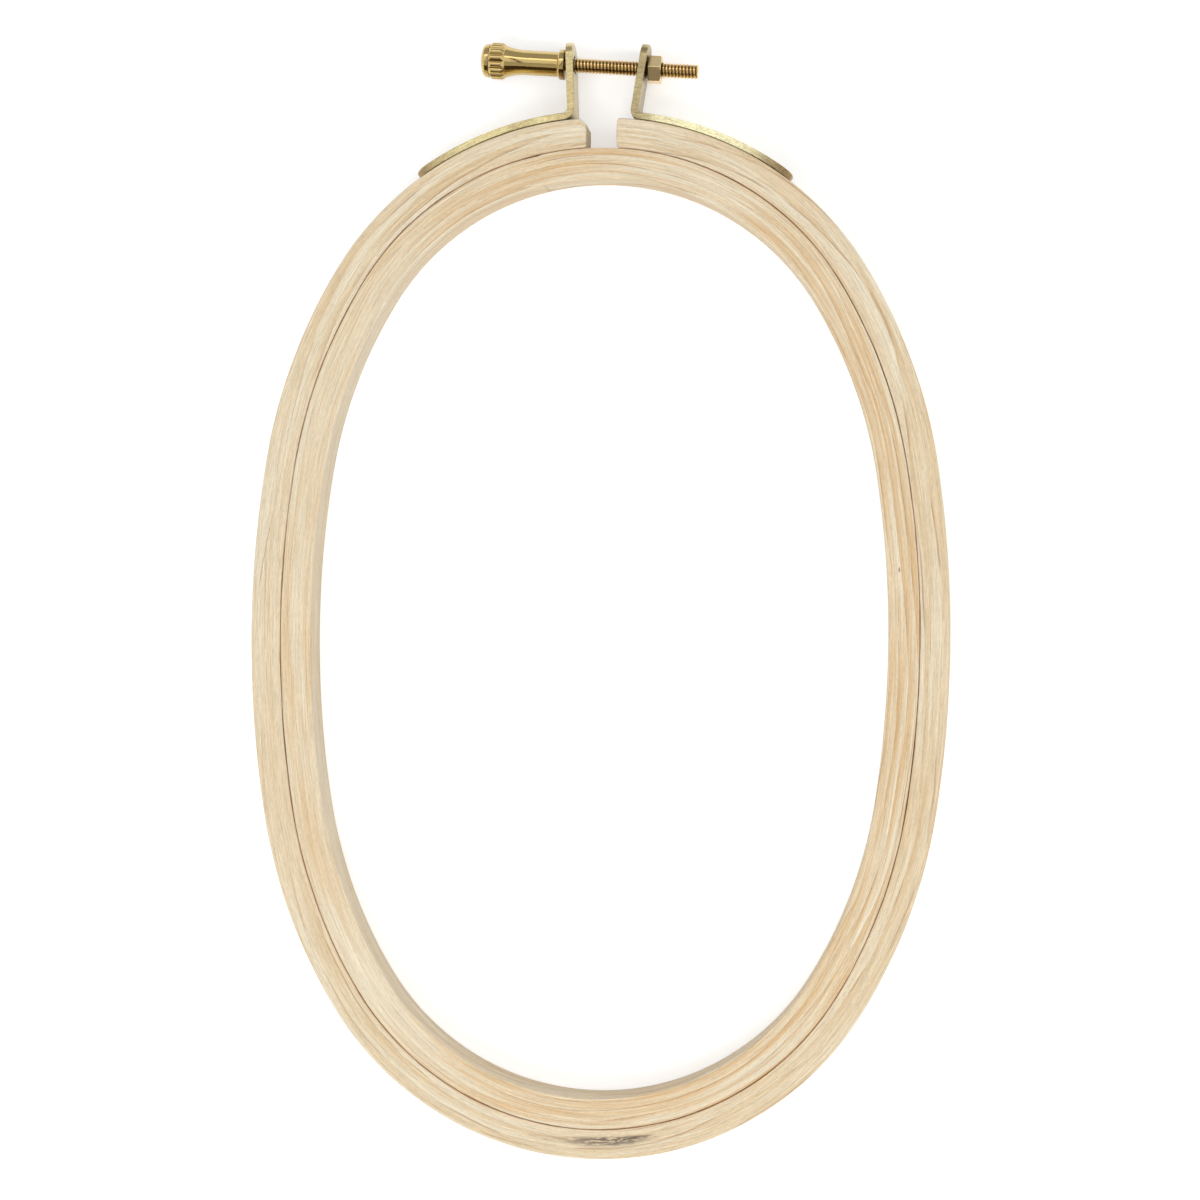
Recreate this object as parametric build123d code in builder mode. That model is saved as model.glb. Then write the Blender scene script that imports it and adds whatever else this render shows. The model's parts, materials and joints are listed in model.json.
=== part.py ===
from build123d import *
import os
from math import asin, cos, degrees, pi, radians, sin, tan

# An oval wooden embroidery hoop. It lies flat, with the screw at +Y and +Z up. The origin is
# the middle of the work opening, on the plane that the hoop rests on. Sizes are millimetres
# and angles are degrees.

# Outer edge of the outer ring, as arcs that meet in line. The angles are those of the edge's
# normal from X, where the side arc meets the shoulder arc and the shoulder arc the end arc.
side_radius = 229.0
shoulder_radius = 108.0
end_radius = 63.0
side_angle = 8.9
shoulder_angle = 31.7

# The two wooden rings
ring_depth = 8.0
outer_ring_width = 6.0
inner_ring_width = 6.2
ring_fit = 0.2
ring_edge_radius = 0.3

# Ends of the outer ring, either side of the adjusting gap
left_end_distance = 2.9
right_end_distance = 3.25
left_end_chamfer = 1.3
right_end_corner = 0.7
inner_end_corner = 0.4

# Brass brackets: a strip along the wood that turns up into a lug
strip_thickness = 1.5
strip_width = 7.6
strip_corner_radius = 2.8
strip_edge_radius = 0.2
left_bend_radius = 1.0
right_bend_radius = 0.5
left_lug_distance = 6.5
right_lug_distance = 8.25
left_lug_lean = 2.2
right_lug_lean = 9.0
left_lug_beyond_hole = 4.2
right_lug_beyond_hole = 4.8
left_strip_reach = 37.9
right_strip_reach = 38.9
lug_hole_clearance = 0.35

# Nails that hold the brackets, as shares of the way from the bend to the strip's tip
nail_shares = (0.25, 0.75)
nail_radius = 0.65
nail_length = 5.2
nail_point = 1.1
nail_head_radius = 1.4
nail_head_height = 0.5
nail_fit = 0.02
nail_hole_slack = 0.1

# Screw: where it lies, its knob and its thread
screw_height = 11.1
screw_slope = 3.7
collar_play = 0.2
collar_radius = 3.05
collar_length = 1.4
collar_bevel = 0.35
waist_radius = 2.5
waist_length = 6.7
flare_radius = 3.2
flare_length = 4.2
knurl_root_radius = 3.25
knurl_crest_radius = 3.65
knurl_length = 3.2
knurl_slant = 0.6
knurl_ridge_radius = 0.7
knurl_count = 14
cap_radius = 3.35
cap_length = 1.95
cap_rim_radius = 0.95
cap_dome_height = 0.5
thread_radius = 1.5
thread_pitch = 0.7
thread_depth = 0.4
thread_crest = 0.12
thread_root = 0.14
neck_length = 0.9
thread_beyond_nut = 7.5
screw_tip_land = 0.45
screw_tip_chamfer = 0.25

# Nut
nut_sides = 6
nut_across_flats = 5.1
nut_thickness = 2.65
nut_chamfer = 0.35
nut_chamfer_angle = 30.0
nut_corner_angle = -1.0
nut_thread_clearance = 0.05
nut_play = 0.1

# One overrun serves all cuts
overrun = 1.0

# Centres of the arcs, and the hoop's half width and half length that follow
side_cos, side_sin = cos(radians(side_angle)), sin(radians(side_angle))
shoulder_cos, shoulder_sin = cos(radians(shoulder_angle)), sin(radians(shoulder_angle))
shoulder_x = (end_radius - shoulder_radius) * shoulder_cos
shoulder_y = (side_radius - shoulder_radius) * side_sin
side_x = shoulder_x + (shoulder_radius - side_radius) * side_cos
end_y = shoulder_y + (shoulder_radius - end_radius) * shoulder_sin
hoop_half_width = side_x + side_radius
hoop_half_length = end_y + end_radius
middle = ring_depth / 2

# The screw's axis slopes down to the right, in the plane half way up the rings
axis_direction = Vector(cos(radians(screw_slope)), -sin(radians(screw_slope)), 0)
axis_up = Vector(sin(radians(screw_slope)), cos(radians(screw_slope)), 0)


def axis_point(x):
    """The point of the screw's axis at a distance across the hoop."""
    return Vector(x, hoop_half_length + screw_height - x * tan(radians(screw_slope)), middle)


# Where the screw's collar and the nut stand, clear of the two leaning lugs
left_tilt = sin(radians(left_lug_lean + screw_slope))
right_tilt = sin(radians(right_lug_lean - screw_slope))
nut_corner_radius = nut_across_flats / 2 / cos(pi / nut_sides)
collar_stand_off = strip_thickness / 2 + collar_play + collar_radius * left_tilt
nut_stand_off = strip_thickness / 2 + nut_play + nut_corner_radius * right_tilt
collar_face = axis_point(-left_lug_distance) - axis_direction * collar_stand_off
nut_face = axis_point(right_lug_distance) + axis_direction * nut_stand_off
screw_axis = Axis(collar_face, axis_direction)
lengthwise = Plane(collar_face, x_dir=axis_direction, z_dir=(0, 0, 1))
collar_to_nut = (nut_face - collar_face).length
screw_length = collar_to_nut + nut_thickness + thread_beyond_nut


def half_plane(side):
    """The plane half way up the rings, with its X pointing to one side of the hoop."""
    return Plane((0, 0, middle), x_dir=(side, 0, 0), z_dir=(0, 0, side))


def oval(inset):
    """The hoop's outline as eight arcs, set in from the outer ring's outer edge."""
    shoulder_span = shoulder_angle - side_angle
    for turn, flip in ((0, 1), (180, -1)):
        side = (flip * side_x, 0)
        first_shoulder = (flip * shoulder_x, flip * shoulder_y)
        end = (0, flip * end_y)
        last_shoulder = (-flip * shoulder_x, flip * shoulder_y)
        CenterArc(side, side_radius - inset, turn - side_angle, 2 * side_angle)
        CenterArc(first_shoulder, shoulder_radius - inset, turn + side_angle, shoulder_span)
        CenterArc(end, end_radius - inset, turn + shoulder_angle, 180 - 2 * shoulder_angle)
        CenterArc(last_shoulder, shoulder_radius - inset, turn + 180 - shoulder_angle, shoulder_span)


def ring_face(outer_inset, width):
    """The flat shape of one whole ring."""
    with BuildSketch() as ring:
        with BuildLine():
            oval(outer_inset)
        make_face()
        with BuildLine():
            oval(outer_inset + width)
        make_face(mode=Mode.SUBTRACT)
    return ring.sketch


class BracketPlan:
    """Where one bracket's strip, bend, lug and nails lie, in the half plane of its side."""

    def __init__(self, side, lug_distance, lean, beyond_hole, reach, bend_radius):
        self.side = side
        self.lean = lean
        self.bend_radius = bend_radius
        self.seat = axis_point(side * lug_distance)
        self.across = Vector(cos(radians(lean)), -sin(radians(lean)))
        along = Vector(sin(radians(lean)), cos(radians(lean)))
        hole = Vector(lug_distance, self.seat.Y)
        self.lug_top = hole + along * beyond_hole
        # The bend's centre is as far from the lug's middle line as from the strip's
        end_centre = Vector(0, end_y)
        bend = bend_radius + strip_thickness / 2
        bend_reach = end_radius + strip_thickness / 2 + bend
        lug_offset = (hole - end_centre).dot(self.across)
        self.bend_angle = lean + degrees(asin((bend + lug_offset) / bend_reach))
        self.tip_angle = degrees(asin(reach / (end_radius + strip_thickness)))
        towards_bend = Vector(sin(radians(self.bend_angle)), cos(radians(self.bend_angle)))
        self.bend_centre = end_centre + towards_bend * bend_reach
        self.nail_planes = [self.nail_plane(share) for share in nail_shares]

    def nail_plane(self, share):
        """The strip's outer face at one nail, as a plane whose Z points out of the wood."""
        angle = radians(self.bend_angle + share * (self.tip_angle - self.bend_angle))
        outward = Vector(self.side * sin(angle), cos(angle), 0)
        origin = Vector(0, end_y, middle) + outward * (end_radius + strip_thickness)
        return Plane(origin, x_dir=(0, 0, 1), z_dir=outward)

    def drill_places(self):
        """Where the drill starts for each nail."""
        return [seat.offset(overrun) for seat in self.nail_planes]


def outer_ring_half(plan, end_distance, shape_corner, end_corner):
    """One half of the outer ring, from the adjusting gap to the middle of the far end."""
    with BuildPart() as half:
        with BuildSketch(half_plane(plan.side)) as outline:
            add(ring_face(0, outer_ring_width))
            for x, end in ((end_distance, Align.MIN), (-overrun, Align.MAX)):
                with Locations((x, 0)):
                    Rectangle(
                        2 * hoop_half_width,
                        hoop_half_length + overrun,
                        align=(Align.MAX, end),
                        mode=Mode.SUBTRACT,
                    )
            fillet(outline.vertices().group_by(Axis.X)[1].sort_by(Axis.Y)[0], radius=inner_end_corner)
            shape_corner(outline.vertices().group_by(Axis.X)[-1].sort_by(Axis.Y)[-1], end_corner)
        extrude(amount=ring_depth / 2, both=True)
        fillet(half.faces().filter_by(Axis.Z).edges(), radius=ring_edge_radius)
        split(bisect_by=Plane((0, 0, 0), z_dir=(plan.side, 0, 0)))
        with Locations(*plan.drill_places()):
            Hole(nail_radius + nail_fit, overrun + nail_length + nail_hole_slack)
    return half


def bracket(plan):
    """A bent brass strip: along the wood's outer face, then up into a lug with a hole."""
    with BuildPart() as strip:
        with BuildSketch(half_plane(plan.side)):
            with BuildLine():
                start, span = 90 - plan.tip_angle, plan.tip_angle - plan.bend_angle
                inner = CenterArc((0, end_y), end_radius, start, span)
                outer = CenterArc((0, end_y), end_radius + strip_thickness, start, span)
                start, span = 180 - plan.lean, 90 + plan.lean - plan.bend_angle
                wide_bend = CenterArc(plan.bend_centre, plan.bend_radius + strip_thickness, start, span)
                tight_bend = CenterArc(plan.bend_centre, plan.bend_radius, start, span)
                Polyline(
                    wide_bend @ 0,
                    plan.lug_top - plan.across * (strip_thickness / 2),
                    plan.lug_top + plan.across * (strip_thickness / 2),
                    tight_bend @ 0,
                )
                Line(outer @ 0, inner @ 0)
            make_face()
        extrude(amount=strip_width / 2, both=True)
        straight = strip.edges().filter_by(GeomType.LINE).filter_by(Axis.Z, reverse=True)
        corners = straight.sort_by(SortBy.LENGTH)[:4]
        fillet(corners, radius=strip_corner_radius)
        fillet(strip.faces().filter_by(Axis.Z).edges(), radius=strip_edge_radius)
        lug_normal = (plan.side * plan.across.X, plan.across.Y, 0)
        with BuildSketch(Plane(plan.seat, x_dir=(0, 0, 1), z_dir=lug_normal)):
            Circle(thread_radius + lug_hole_clearance)
        extrude(amount=strip_thickness, both=True, mode=Mode.SUBTRACT)
        with Locations(*plan.drill_places()):
            Hole(nail_radius + nail_fit, overrun + nail_length)
    return strip


def bracket_nails(plan):
    """The nails of one bracket, with low round heads on the strip."""
    with BuildPart() as nails:
        for seat in plan.nail_planes:
            with BuildSketch(Plane(seat.origin, x_dir=seat.z_dir, z_dir=seat.x_dir)):
                with BuildLine():
                    rim = (0, nail_head_radius)
                    Polyline(
                        (nail_head_height, 0),
                        (-nail_length, 0),
                        (nail_point - nail_length, nail_radius),
                        (0, nail_radius),
                        rim,
                    )
                    TangentArc((nail_head_height, 0), rim, tangent=(0, 1))
                make_face()
            revolve(axis=Axis(seat.origin, seat.z_dir))
    return nails


left_plan = BracketPlan(
    -1, left_lug_distance, left_lug_lean, left_lug_beyond_hole, left_strip_reach, left_bend_radius
)
right_plan = BracketPlan(
    1, right_lug_distance, right_lug_lean, right_lug_beyond_hole, right_strip_reach, right_bend_radius
)

# Inner ring
with BuildPart() as inner_ring:
    with BuildSketch(half_plane(1)):
        add(ring_face(outer_ring_width + ring_fit, inner_ring_width))
    extrude(amount=ring_depth / 2, both=True)
    fillet(inner_ring.faces().filter_by(Axis.Z).edges(), radius=ring_edge_radius)

# Outer ring, in two halves so that its adjusting gap can open
outer_ring_left = outer_ring_half(left_plan, left_end_distance, chamfer, left_end_chamfer)
outer_ring_right = outer_ring_half(right_plan, right_end_distance, fillet, right_end_corner)

# Brackets and their nails
left_bracket = bracket(left_plan)
right_bracket = bracket(right_plan)
left_bracket_nails = bracket_nails(left_plan)
right_bracket_nails = bracket_nails(right_plan)

# Screw and knob, turned as one piece. Its outline runs along the axis from the collar's face.
collar_start = -collar_length
waist_start = collar_start - waist_length
knurl_end = waist_start - flare_length
knurl_start = knurl_end - knurl_length
knob_end = knurl_start - cap_length
dome_edge = (knob_end + cap_dome_height, cap_radius - cap_rim_radius)
rim_end = (dome_edge[0] + cap_rim_radius, cap_radius)
thread_core = thread_radius - thread_depth
thread_rise = (thread_pitch - thread_crest - thread_root) / 2
thread_turns = int((screw_length - neck_length - screw_tip_land) / thread_pitch)
thread_end = neck_length + thread_turns * thread_pitch

with BuildPart() as tension_screw:
    # Knurled band: ridges on a drum, slanted at both ends
    with BuildSketch(Plane(screw_axis.position, x_dir=(0, 0, 1), z_dir=axis_direction).offset(knurl_start)):
        Circle(knurl_root_radius)
        with PolarLocations(knurl_crest_radius - knurl_ridge_radius, knurl_count):
            Circle(knurl_ridge_radius)
    extrude(amount=knurl_length)
    with BuildSketch(lengthwise):
        with BuildLine():
            Polyline(
                (knurl_start, 0),
                (knurl_start, knurl_root_radius),
                (knurl_start + knurl_slant, knurl_crest_radius),
                (knurl_end - knurl_slant, knurl_crest_radius),
                (knurl_end, knurl_root_radius),
                (knurl_end, 0),
                close=True,
            )
        make_face()
    revolve(axis=screw_axis, mode=Mode.INTERSECT)
    # Cap, waist, collar and threaded shank
    with BuildSketch(lengthwise):
        with BuildLine():
            TangentArc((knob_end, 0), dome_edge, tangent=(0, 1))
            TangentArc(rim_end, dome_edge, tangent=(-1, 0))
            Polyline(
                rim_end,
                (knurl_start, cap_radius),
                (knurl_start, knurl_root_radius),
                (knurl_end, knurl_root_radius),
                (knurl_end, flare_radius),
            )
            TangentArc((waist_start, waist_radius), (knurl_end, flare_radius), tangent=(-1, 0))
            Polyline(
                (waist_start, waist_radius),
                (collar_start, waist_radius),
                (collar_start + collar_bevel, collar_radius),
                (0, collar_radius),
                (0, thread_core),
                (neck_length, thread_core),
            )
            for turn in range(thread_turns):
                foot = neck_length + turn * thread_pitch
                Polyline(
                    (foot, thread_core),
                    (foot + thread_rise, thread_radius),
                    (foot + thread_rise + thread_crest, thread_radius),
                    (foot + 2 * thread_rise + thread_crest, thread_core),
                    (foot + thread_pitch, thread_core),
                )
            Polyline(
                (thread_end, thread_core),
                (thread_end + thread_rise, thread_radius),
                (screw_length - screw_tip_chamfer, thread_radius),
                (screw_length, thread_radius - screw_tip_chamfer),
                (screw_length, 0),
                (knob_end, 0),
            )
        make_face()
    revolve(axis=screw_axis)

# Nut
with BuildPart() as hex_nut:
    corner_angle = radians(nut_corner_angle)
    corner = Vector(0, 0, 1) * cos(corner_angle) + axis_up * sin(corner_angle)
    with BuildSketch(Plane(nut_face, x_dir=corner, z_dir=axis_direction)):
        RegularPolygon(nut_corner_radius, nut_sides)
    extrude(amount=nut_thickness)
    with BuildSketch(Plane(nut_face, x_dir=axis_direction, z_dir=(0, 0, 1))):
        with BuildLine():
            chamfer_depth = nut_chamfer * tan(radians(nut_chamfer_angle))
            Polyline(
                (0, thread_radius + nut_thread_clearance),
                (0, nut_corner_radius),
                (nut_thickness - chamfer_depth, nut_corner_radius),
                (nut_thickness, nut_corner_radius - nut_chamfer),
                (nut_thickness, thread_radius + nut_thread_clearance),
                close=True,
            )
        make_face()
    revolve(axis=Axis(nut_face, axis_direction), mode=Mode.INTERSECT)

pieces = {
    "inner_ring": inner_ring,
    "outer_ring_left": outer_ring_left,
    "outer_ring_right": outer_ring_right,
    "left_bracket": left_bracket,
    "right_bracket": right_bracket,
    "left_bracket_nails": left_bracket_nails,
    "right_bracket_nails": right_bracket_nails,
    "tension_screw": tension_screw,
    "hex_nut": hex_nut,
}
os.makedirs("parts", exist_ok=True)
for name, piece in pieces.items():
    piece.part.label = name
    export_step(piece.part, f"parts/{name}.step")
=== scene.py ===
import json
import math

import bpy
import numpy as np
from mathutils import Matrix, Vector


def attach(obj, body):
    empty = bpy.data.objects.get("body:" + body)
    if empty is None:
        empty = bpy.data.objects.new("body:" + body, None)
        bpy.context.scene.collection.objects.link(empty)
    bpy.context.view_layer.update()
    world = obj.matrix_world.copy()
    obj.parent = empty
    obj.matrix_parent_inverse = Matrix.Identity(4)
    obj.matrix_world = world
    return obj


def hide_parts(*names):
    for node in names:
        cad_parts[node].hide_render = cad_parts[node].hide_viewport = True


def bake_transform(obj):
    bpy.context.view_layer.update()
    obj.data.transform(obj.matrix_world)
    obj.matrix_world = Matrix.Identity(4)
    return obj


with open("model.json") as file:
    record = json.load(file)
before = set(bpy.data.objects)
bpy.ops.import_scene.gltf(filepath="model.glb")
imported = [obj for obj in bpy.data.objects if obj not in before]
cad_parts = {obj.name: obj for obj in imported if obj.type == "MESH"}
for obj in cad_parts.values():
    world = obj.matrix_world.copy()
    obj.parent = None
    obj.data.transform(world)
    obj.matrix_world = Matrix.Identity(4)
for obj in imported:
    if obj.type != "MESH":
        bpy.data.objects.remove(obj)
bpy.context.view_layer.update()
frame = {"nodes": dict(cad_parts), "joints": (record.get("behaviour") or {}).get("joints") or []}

MM = 0.001

# The hoop's outline and rings, as in the solid model, in millimetres and degrees
SIDE_RADIUS, SHOULDER_RADIUS, END_RADIUS = 229.0, 108.0, 63.0
SIDE_ANGLE, SHOULDER_ANGLE = 8.9, 31.7
DEPTH = 8.0
OUTER_WIDTH, INNER_WIDTH, RING_FIT = 6.0, 6.2, 0.2
EDGE_RADIUS, GAP_EDGE = 0.3, 0.12
LEFT_END, RIGHT_END = 2.9, 3.25
LEFT_CHAMFER, RIGHT_CORNER, INNER_CORNER = 1.3, 0.7, 0.4

side_a, shoulder_a = math.radians(SIDE_ANGLE), math.radians(SHOULDER_ANGLE)
SHOULDER_X = (END_RADIUS - SHOULDER_RADIUS) * math.cos(shoulder_a)
SHOULDER_Y = (SIDE_RADIUS - SHOULDER_RADIUS) * math.sin(side_a)
SIDE_X = SHOULDER_X + (SHOULDER_RADIUS - SIDE_RADIUS) * math.cos(side_a)
END_Y = SHOULDER_Y + (SHOULDER_RADIUS - END_RADIUS) * math.sin(shoulder_a)
INNER_LOW = OUTER_WIDTH + RING_FIT
INNER_HIGH = INNER_LOW + INNER_WIDTH

# The wood as the scene draws it
STATION_STEP = 1.1  # between stations along the rings
ARC_POINTS = 5  # round each edge of a section
CLOSE_ROW = 0.25  # from an edge to the next row of points
PRESSED = 0.09  # how far each ring's wall stands into the gap between them
NOTCH_START, NOTCH_STEP, NOTCH_DEPTH = -20.5, -12.2, 0.16
INNER_SEED, OUTER_SEED = 0.7, 2.9
WAVES_OVER = 560.0  # the length over which the outer ring's unevenness is drawn
SIDE_SANDED, TOP_SANDED = 0.035, 0.02  # how much of the solid the unevenness takes away
PATH_CLEARANCE = 7.0  # the bend's stations start this far from the left end
SQUARE_REACH = 6.0  # over this distance the sections turn from sawn to square to the bend
BULGE_REACH, RIGHT_BULGE, LEFT_BULGE = 2.0, 0.12, 0.04
END_STEPS = (
    0.0, 0.03, 0.08, 0.15, 0.22, 0.3, 0.4, 0.55, 0.7,
    0.9, 1.1, 1.3, 1.6, 2.0, 2.6, 3.4, 4.3, 5.3,
)

# The knob, the thread and the nut
COLLAR_RADIUS, COLLAR_LENGTH, COLLAR_BEVEL = 3.05, 1.4, 0.35
WAIST_RADIUS, WAIST_LENGTH = 2.5, 6.7
FLARE_RADIUS, FLARE_LENGTH = 3.2, 4.2
KNURL_ROOT, KNURL_CREST, KNURL_LENGTH, KNURL_SLANT = 3.25, 3.65, 3.2, 0.6
RIDGE_RADIUS, RIDGES = 0.7, 14
CAP_RADIUS, CAP_LENGTH, CAP_RIM, CAP_DOME = 3.35, 1.95, 0.95, 0.5
THREAD_RADIUS, THREAD_DEPTH, PITCH = 1.5, 0.25, 0.7
THREAD_CREST, THREAD_ROOT, NECK = 0.24, 0.08, 0.9
THREAD_RUN_IN, THREAD_ROW, TIP_CHAMFER = 0.35, 0.05, 0.25
CORE_RADIUS = THREAD_RADIUS - THREAD_DEPTH
NUT_FLATS, NUT_TURN, NUT_CHAMFER, NUT_SLOPE = 5.1, -1.0, 0.35, 30.0
NUT_BORE, NUT_COUNTERSINK, NUT_CORNER_EASE = THREAD_RADIUS + 0.03, 0.26, 0.05
KNOB_COLUMNS, THREAD_COLUMNS, NUT_COLUMNS = 192, 48, 180

# The screw's axis, from the joint it turns on
screw_joint = next(j for j in frame["joints"] if j["name"] == "screw_turn")
AXIS_START = np.array(screw_joint["pos_m"]) / MM
AXIS = -np.array(screw_joint["axis"])
AXIS_SIDE = np.array((-AXIS[1], AXIS[0], 0.0))
UP = np.array((0.0, 0.0, 1.0))


def build_mesh(name, points, faces, corner_data=None, sharp_angle=40):
    """A mesh from points in millimetres. corner_data holds one vector for each face corner."""
    points = np.asarray(points, float)
    volume = 0.0
    for f in faces:
        a = points[f[0]]
        for k in range(1, len(f) - 1):
            volume += np.dot(a, np.cross(points[f[k]], points[f[k + 1]]))
    if volume < 0:
        faces = [f[::-1] for f in faces]
        if corner_data is not None:
            corner_data = [c[::-1] for c in corner_data]
    mesh = bpy.data.meshes.new(name)
    mesh.from_pydata((points * MM).tolist(), [], [list(map(int, f)) for f in faces])
    if corner_data is not None:
        attribute = mesh.attributes.new("grain", "FLOAT_VECTOR", "CORNER")
        flat = np.array([v for c in corner_data for v in c], np.float32)
        attribute.data.foreach_set("vector", flat.ravel())
    mesh.polygons.foreach_set("use_smooth", [True] * len(mesh.polygons))
    mesh.set_sharp_from_angle(angle=math.radians(sharp_angle))
    mesh.update()
    return add_object(name, mesh)


def add_object(name, data):
    added = bpy.data.objects.new(name, data)
    bpy.context.scene.collection.objects.link(added)
    return added


def grid_faces(count, across, closed):
    """Faces between loops of points that follow each other."""
    faces = []
    last = count if closed else count - 1
    for i in range(last):
        n = (i + 1) % count
        for j in range(across):
            m = (j + 1) % across
            faces.append((i * across + j, n * across + j, n * across + m, i * across + m))
    return faces


# The two wooden rings
def ring_path():
    """Stations round the oval, clockwise from the screw: centre, radius, angle of the normal."""
    arcs = []
    for flip, turn in ((1, 0), (-1, 180)):
        for x, y, radius, a0, a1 in (
            (0, END_Y, END_RADIUS, 90, SHOULDER_ANGLE),
            (SHOULDER_X, SHOULDER_Y, SHOULDER_RADIUS, SHOULDER_ANGLE, SIDE_ANGLE),
            (SIDE_X, 0, SIDE_RADIUS, SIDE_ANGLE, -SIDE_ANGLE),
            (SHOULDER_X, -SHOULDER_Y, SHOULDER_RADIUS, -SIDE_ANGLE, -SHOULDER_ANGLE),
            (0, -END_Y, END_RADIUS, -SHOULDER_ANGLE, -90),
        ):
            arcs.append((flip * x, flip * y, radius, a0 - turn, a1 - turn))
    rows = []
    for x, y, radius, a0, a1 in arcs:
        count = max(2, round(radius * math.radians(a0 - a1) / STATION_STEP))
        for k in range(count):
            rows.append((x, y, radius, math.radians(a0 + (a1 - a0) * k / count)))
    return rows


def section(low, high, low_edge, high_edge):
    """Points round a rounded rectangle, as (inset, height), with close rows beside the edges."""
    corners = ((high, 0), (high, DEPTH), (low, DEPTH), (low, 0))
    points = []
    for k, (x, z) in enumerate(corners):
        edge = high_edge if x == high else low_edge
        sx = -1 if x == high else 1
        sz = 1 if z == 0 else -1
        start = (-90, 0, 90, 180)[k]
        for degrees in np.linspace(start, start + 90, ARC_POINTS):
            a = math.radians(degrees)
            points.append((x + sx * edge + edge * math.cos(a), z + sz * edge + edge * math.sin(a)))
        nx, nz = corners[(k + 1) % 4]
        next_edge = high_edge if nx == high else low_edge
        reach = math.hypot(nx - x, nz - z) - edge - next_edge
        for share in (CLOSE_ROW / reach, 0.2, 0.4, 0.6, 0.8, 1 - CLOSE_ROW / reach):
            if x == nx:
                points.append((x, z + sz * edge + sz * share * reach))
            else:
                points.append((x + sx * edge + sx * share * reach, z))
    return points


def grain_data(lengths, total, shape, low, closed):
    """Along, across and up for each face corner, in metres, so that the seam keeps its jump."""
    data = []
    count, across = len(lengths), len(shape)
    last = count if closed else count - 1
    for i in range(last):
        a, b = lengths[i], lengths[i + 1] if i + 1 < count else total
        for j in range(across):
            p, q = shape[j], shape[(j + 1) % across]
            corners = ((a, p), (b, p), (b, q), (a, q))
            data.append([(s * MM, (c[0] - low) * MM, c[1] * MM) for s, c in corners])
    return data


def path_lengths(rows, inset):
    """How far along the strip each station is, and last the whole length."""
    mids = []
    for x, y, radius, a in rows:
        mids.append((x + (radius - inset) * math.cos(a), y + (radius - inset) * math.sin(a)))
    mids = np.array(mids + mids[:1])
    steps = np.linalg.norm(np.diff(mids, axis=0), axis=1)
    return np.concatenate([[0], np.cumsum(steps)])


def wave(t, parts):
    """A smooth uneven line: a sum of sines given as (size, cycles, phase)."""
    return sum(size * np.sin(2 * np.pi * cycles * t + phase) for size, cycles, phase in parts)


def unevenness(t, inset, z, middle, seed):
    """Small hand-worked unevenness of a ring's faces, never beyond the solid's outline.

    t is the share of the way round. The result is how far a point moves inwards and up.
    """
    if inset < middle:
        parts = ((0.018, 7, seed), (0.012, 17, 2.1 * seed), (0.006, 41, seed + 1))
        inwards = max(SIDE_SANDED + wave(t, parts), 0.0)
    else:
        parts = ((0.02, 5, seed + 2), (0.012, 13, seed), (0.006, 37, 3.3 * seed))
        inwards = -max(SIDE_SANDED + wave(t, parts), 0.0)
    if z <= DEPTH / 2:
        return inwards, 0.0
    return inwards, -max(TOP_SANDED + wave(t, ((0.012, 6, seed + 0.5), (0.006, 19, seed))), 0.0)


def make_inner_ring():
    rows = ring_path()
    middle = INNER_LOW + INNER_WIDTH / 2
    lengths = path_lengths(rows, middle)
    total = lengths[-1]
    shape = section(INNER_LOW - PRESSED, INNER_HIGH, GAP_EDGE, EDGE_RADIUS)
    points = []
    for (x, y, radius, a), s in zip(rows, lengths):
        from_top = s if s < total / 2 else s - total
        for inset, z in shape:
            inwards, up = unevenness(s / total, inset, z, middle, INNER_SEED)
            if inset < middle and NOTCH_START < from_top < NOTCH_STEP:
                ramp = (from_top - NOTCH_START) / (NOTCH_STEP - NOTCH_START)
                inwards += NOTCH_DEPTH * ramp**1.5
            r = radius - inset - inwards
            points.append((x + r * math.cos(a), y + r * math.sin(a), z + up))
    faces = grid_faces(len(rows), len(shape), True)
    data = grain_data(lengths[:-1], total, shape, INNER_LOW, True)
    return build_mesh("inner_ring_wood", points, faces, data), total


def corner_cut(distance, radius):
    """How far a rounded corner has drawn back at a distance from the end."""
    if distance >= radius:
        return 0.0
    return radius - math.sqrt(max(radius * radius - (radius - distance) ** 2, 0.0))


def chamfer_cut(distance, size):
    """The same for a straight chamfer."""
    return max(size - distance, 0.0)


def bend_station(x, y, radius, angle):
    """A section square to the bend: its middle, and where each of its points goes."""

    def place(inset, z, inwards, up):
        r = radius - inset - inwards
        return x + r * math.cos(angle), y + r * math.sin(angle), z + up

    r = radius - OUTER_WIDTH / 2
    return (x + r * math.cos(angle), y + r * math.sin(angle)), place


def end_station(side, half_gap, shape_cut, corner, bulge, distance):
    """A section near a sawn end of the ring, at a distance from it."""
    half = OUTER_WIDTH / 2
    offset = side * (half_gap + distance)
    square = min(distance / SQUARE_REACH, 1.0)
    square = square * square * (3 - 2 * square)
    bulge *= max(0.0, 1 - distance / BULGE_REACH)
    flatter = 1 - 2 * corner_cut(distance, EDGE_RADIUS) / DEPTH

    def place(inset, z, inwards, up):
        if inset < half:
            cut = shape_cut(distance, corner) * max(0.0, 1 - inset / half)
        else:
            cut = -corner_cut(distance, INNER_CORNER) * max(0.0, inset / half - 1)
        px = offset * (1 - square * inset / END_RADIUS)
        px += side * bulge * (2 * inset / OUTER_WIDTH - 1) ** 2
        r = END_RADIUS - inset - inwards - cut
        height = DEPTH / 2 + (z - DEPTH / 2) * flatter
        return px, END_Y + math.sqrt(r * r - px * px), height + up

    return (offset, END_Y + math.sqrt((END_RADIUS - half) ** 2 - offset**2)), place


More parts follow.
